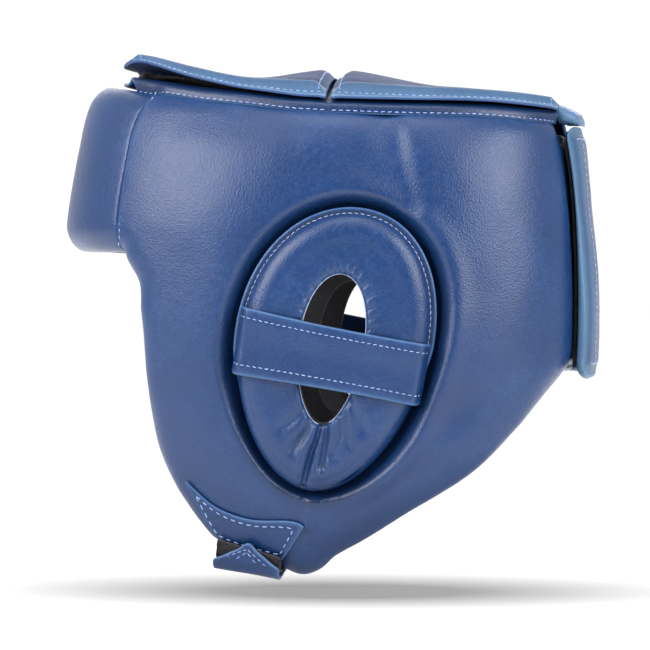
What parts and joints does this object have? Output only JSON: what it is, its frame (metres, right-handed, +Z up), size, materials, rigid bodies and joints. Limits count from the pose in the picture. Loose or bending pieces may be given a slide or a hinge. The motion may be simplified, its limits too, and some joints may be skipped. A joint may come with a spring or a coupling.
{
  "type": "boxing headgear",
  "caption": "Open-face padded boxing headgear with ear pads and straps, crown lobes, rear closure flap and chin strap.",
  "frame": {"origin": "centre of the wearer's head inside the headgear, level with the ears", "axes": "+Z up when worn, -Y out of the wearer's face, +X to the wearer's left"},
  "size_m": [0.215, 0.2716, 0.2589],
  "materials": {
    "leather": "semi-gloss synthetic leather, fine grain",
    "lining": "black brushed lining",
    "foam": "closed-cell foam",
    "hook_and_loop": "black hook-and-loop tape"
  },
  "bodies": {
    "helmet": {"chin_strap_anchor": "leather", "chin_tab": "hook_and_loop", "chin_tab_upper": "hook_and_loop", "crown_front_loop_tape": "hook_and_loop", "crown_front_lower_lobe": "leather", "crown_front_seam_strip": "leather", "crown_rear_loop_tape": "hook_and_loop", "crown_rear_lower_lobe": "leather", "crown_rear_seam_strip": "leather", "forehead_cover": "leather", "forehead_foam": "foam", "forehead_lining": "lining", "left_chin_patch": "leather", "left_ear_pad_cover": "leather", "left_ear_pad_foam": "foam", "left_ear_recess_floor": "leather", "left_ear_strap": "leather", "left_side_cover": "leather", "left_side_inner_foam": "foam", "left_side_lining": "lining", "left_side_outer_foam": "foam", "rear_hinge_strip": "leather", "rear_loop_tape": "hook_and_loop", "rear_under_flap": "leather", "right_chin_patch": "leather", "right_ear_pad_cover": "leather", "right_ear_pad_foam": "foam", "right_ear_recess_floor": "leather", "right_ear_strap": "leather", "right_side_cover": "leather", "right_side_inner_foam": "foam", "right_side_lining": "lining", "right_side_outer_foam": "foam"},
    "crown_front_lobe": {"crown_front_upper_lobe": "leather", "crown_front_hook_tape": "hook_and_loop"},
    "crown_rear_lobe": {"crown_rear_upper_lobe": "leather", "crown_rear_hook_tape": "hook_and_loop", "crown_back_tab": "leather"},
    "rear_closure_flap": {"rear_flap": "leather", "rear_hook_tape": "hook_and_loop"},
    "chin_strap_band": {"chin_strap": "leather", "chin_strap_hook_tape": "hook_and_loop"},
    "chin_strap_end": {"chin_strap_tip": "leather", "chin_tip_hook_tape": "hook_and_loop"}
  },
  "joints": [
    {"name": "crown_front_hinge", "type": "hinge", "parent": "helmet", "child": "crown_front_lobe", "pos_m": [-0.05967, -0.0528, 0.11547], "axis": [0.3483, -0.9303, 0.115], "range_deg": [0, 110]},
    {"name": "crown_rear_hinge", "type": "hinge", "parent": "helmet", "child": "crown_rear_lobe", "pos_m": [-0.06041, 0.0548, 0.10823], "axis": [-0.3066, -0.9507, 0.0464], "range_deg": [0, 110]},
    {"name": "rear_flap_hinge", "type": "hinge", "parent": "helmet", "child": "rear_closure_flap", "pos_m": [-0.06928, 0.1141, 0.03657], "axis": [0.0264, -0.0666, 0.9974], "range_deg": [0, 110]},
    {"name": "chin_strap_hinge", "type": "hinge", "parent": "helmet", "child": "chin_strap_band", "pos_m": [-0.0749, -0.0425, -0.12194], "axis": [-0.1615, 0.9626, -0.2174], "range_deg": [0, 100]},
    {"name": "chin_tip_hinge", "type": "hinge", "parent": "chin_strap_band", "child": "chin_strap_end", "pos_m": [0.07899, -0.04357, -0.12361], "axis": [0.1615, 0.9626, -0.2174], "range_deg": [0, 150]}
  ]
}
